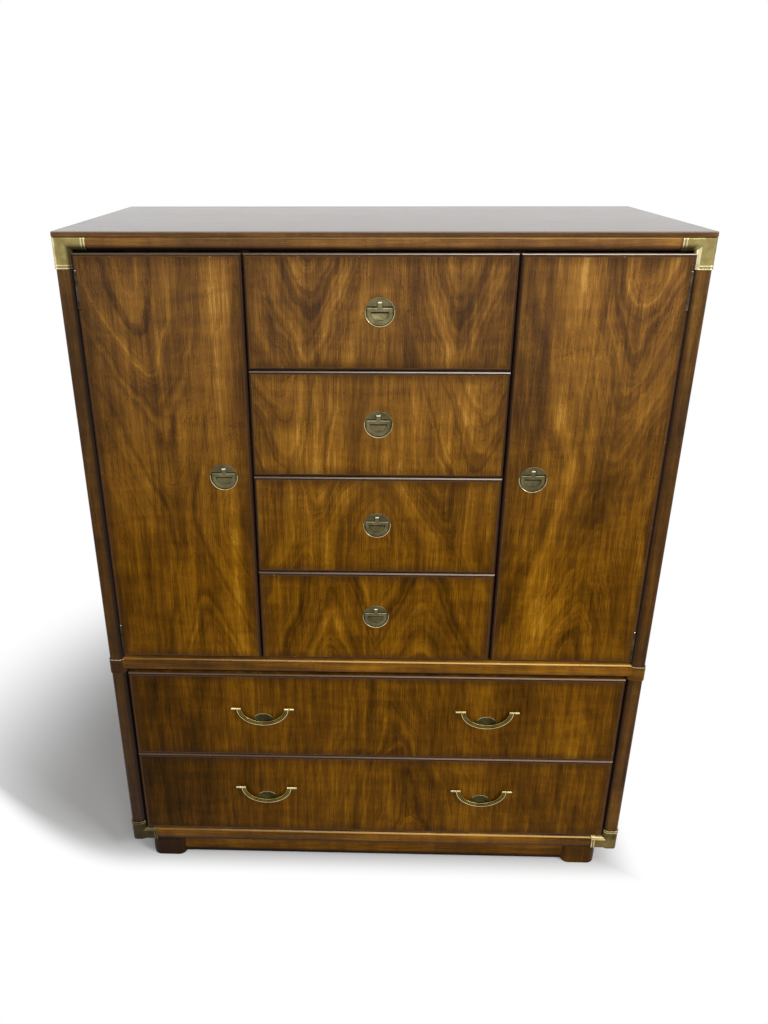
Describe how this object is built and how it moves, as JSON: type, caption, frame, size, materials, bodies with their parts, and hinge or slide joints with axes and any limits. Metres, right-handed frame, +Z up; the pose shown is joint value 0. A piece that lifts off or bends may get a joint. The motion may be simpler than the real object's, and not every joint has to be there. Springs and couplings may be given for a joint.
{
  "type": "gentlemans chest",
  "caption": "Tall wooden chest with two doors and small drawers over long drawers, brass corners, flush ring pulls and bail pulls.",
  "frame": {"origin": "centre of the bounding box's footprint, on the floor", "axes": "+Z up, the doors and drawers face -Y, +X to the right as seen from the front"},
  "size_m": [1.0758, 0.479, 1.372],
  "materials": {
    "front_veneer": "glossy lacquered figured veneer",
    "case_wood": "glossy lacquer",
    "drawer_wood": "plain unfinished secondary wood",
    "foot_wood": "dark glossy lacquer",
    "brass": "aged, softly polished",
    "hinge_brass": "darkened"
  },
  "bodies": {
    "case": {"top_panel": "case_wood", "back_panel": "case_wood", "waist_deck": "case_wood", "lower_dust_panel": "case_wood", "base_deck": "case_wood", "front_left_foot": "foot_wood", "rear_left_foot": "foot_wood", "front_right_foot": "foot_wood", "rear_right_foot": "foot_wood", "plinth": "case_wood", "top_rail": "case_wood", "waist_rail": "case_wood", "base_rail": "case_wood", "left_side_panel": "case_wood", "left_partition": "case_wood", "left_shelf": "case_wood", "left_post": "case_wood", "left_top_hinge": "hinge_brass", "left_base_hinge": "hinge_brass", "top_left_brass_corner": "brass", "base_left_brass_corner": "brass", "right_side_panel": "case_wood", "right_partition": "case_wood", "right_shelf": "case_wood", "right_post": "case_wood", "right_top_hinge": "hinge_brass", "right_base_hinge": "hinge_brass", "top_right_brass_corner": "brass", "base_right_brass_corner": "brass"},
    "left_door": {"left_door": "front_veneer", "left_door_pull_cup": "brass"},
    "left_door_pull_ring": {"left_door_pull_ring": "brass"},
    "right_door": {"right_door": "front_veneer", "right_door_pull_cup": "brass"},
    "right_door_pull_ring": {"right_door_pull_ring": "brass"},
    "small_drawer_4": {"small_drawer_4_front": "front_veneer", "small_drawer_4_box": "drawer_wood", "small_drawer_4_pull_cup": "brass"},
    "small_drawer_4_pull_ring": {"small_drawer_4_pull_ring": "brass"},
    "small_drawer_3": {"small_drawer_3_front": "front_veneer", "small_drawer_3_box": "drawer_wood", "small_drawer_3_pull_cup": "brass"},
    "small_drawer_3_pull_ring": {"small_drawer_3_pull_ring": "brass"},
    "small_drawer_2": {"small_drawer_2_front": "front_veneer", "small_drawer_2_box": "drawer_wood", "small_drawer_2_pull_cup": "brass"},
    "small_drawer_2_pull_ring": {"small_drawer_2_pull_ring": "brass"},
    "small_drawer_1": {"small_drawer_1_front": "front_veneer", "small_drawer_1_box": "drawer_wood", "small_drawer_1_pull_cup": "brass"},
    "small_drawer_1_pull_ring": {"small_drawer_1_pull_ring": "brass"},
    "lower_long_drawer": {"lower_long_drawer_front": "front_veneer", "lower_long_drawer_box": "drawer_wood"},
    "lower_long_drawer_left_bail": {"lower_long_drawer_left_bail": "brass"},
    "lower_long_drawer_right_bail": {"lower_long_drawer_right_bail": "brass"},
    "upper_long_drawer": {"upper_long_drawer_front": "front_veneer", "upper_long_drawer_box": "drawer_wood"},
    "upper_long_drawer_left_bail": {"upper_long_drawer_left_bail": "brass"},
    "upper_long_drawer_right_bail": {"upper_long_drawer_right_bail": "brass"}
  },
  "joints": [
    {"name": "left_door_hinge", "type": "hinge", "parent": "case", "child": "left_door", "pos_m": [-0.50351, -0.2275, 0.94], "axis": [0, 0, -1], "range_deg": [0, 110]},
    {"name": "left_door_pull_ring_turn", "type": "hinge", "parent": "left_door", "child": "left_door_pull_ring", "pos_m": [-0.279, -0.2285, 0.9448], "axis": [-1, 0, 0], "range_deg": [0, 90]},
    {"name": "right_door_hinge", "type": "hinge", "parent": "case", "child": "right_door", "pos_m": [0.50351, -0.2275, 0.94], "axis": [0, 0, 1], "range_deg": [0, 110]},
    {"name": "right_door_pull_ring_turn", "type": "hinge", "parent": "right_door", "child": "right_door_pull_ring", "pos_m": [0.279, -0.2285, 0.9448], "axis": [-1, 0, 0], "range_deg": [0, 90]},
    {"name": "small_drawer_4_slide", "type": "slide", "parent": "case", "child": "small_drawer_4", "axis": [0, -1, 0], "range_m": [0, 0.32]},
    {"name": "small_drawer_4_pull_ring_turn", "type": "hinge", "parent": "small_drawer_4", "child": "small_drawer_4_pull_ring", "pos_m": [0, -0.2285, 0.65042], "axis": [-1, 0, 0], "range_deg": [0, 90]},
    {"name": "small_drawer_3_slide", "type": "slide", "parent": "case", "child": "small_drawer_3", "axis": [0, -1, 0], "range_m": [0, 0.32]},
    {"name": "small_drawer_3_pull_ring_turn", "type": "hinge", "parent": "small_drawer_3", "child": "small_drawer_3_pull_ring", "pos_m": [0, -0.2285, 0.84968], "axis": [-1, 0, 0], "range_deg": [0, 90]},
    {"name": "small_drawer_2_slide", "type": "slide", "parent": "case", "child": "small_drawer_2", "axis": [0, -1, 0], "range_m": [0, 0.32]},
    {"name": "small_drawer_2_pull_ring_turn", "type": "hinge", "parent": "small_drawer_2", "child": "small_drawer_2_pull_ring", "pos_m": [0, -0.2285, 1.04893], "axis": [-1, 0, 0], "range_deg": [0, 90]},
    {"name": "small_drawer_1_slide", "type": "slide", "parent": "case", "child": "small_drawer_1", "axis": [0, -1, 0], "range_m": [0, 0.32]},
    {"name": "small_drawer_1_pull_ring_turn", "type": "hinge", "parent": "small_drawer_1", "child": "small_drawer_1_pull_ring", "pos_m": [0, -0.2285, 1.24818], "axis": [-1, 0, 0], "range_deg": [0, 90]},
    {"name": "lower_long_drawer_slide", "type": "slide", "parent": "case", "child": "lower_long_drawer", "axis": [0, -1, 0], "range_m": [0, 0.32]},
    {"name": "lower_long_drawer_left_bail_turn", "type": "hinge", "parent": "lower_long_drawer", "child": "lower_long_drawer_left_bail", "pos_m": [-0.23, -0.2365, 0.21082], "axis": [-1, 0, 0], "range_deg": [0, 160]},
    {"name": "lower_long_drawer_right_bail_turn", "type": "hinge", "parent": "lower_long_drawer", "child": "lower_long_drawer_right_bail", "pos_m": [0.23, -0.2365, 0.21082], "axis": [-1, 0, 0], "range_deg": [0, 160]},
    {"name": "upper_long_drawer_slide", "type": "slide", "parent": "case", "child": "upper_long_drawer", "axis": [0, -1, 0], "range_m": [0, 0.32]},
    {"name": "upper_long_drawer_left_bail_turn", "type": "hinge", "parent": "upper_long_drawer", "child": "upper_long_drawer_left_bail", "pos_m": [-0.23, -0.2365, 0.42107], "axis": [-1, 0, 0], "range_deg": [0, 160]},
    {"name": "upper_long_drawer_right_bail_turn", "type": "hinge", "parent": "upper_long_drawer", "child": "upper_long_drawer_right_bail", "pos_m": [0.23, -0.2365, 0.42107], "axis": [-1, 0, 0], "range_deg": [0, 160]}
  ]
}
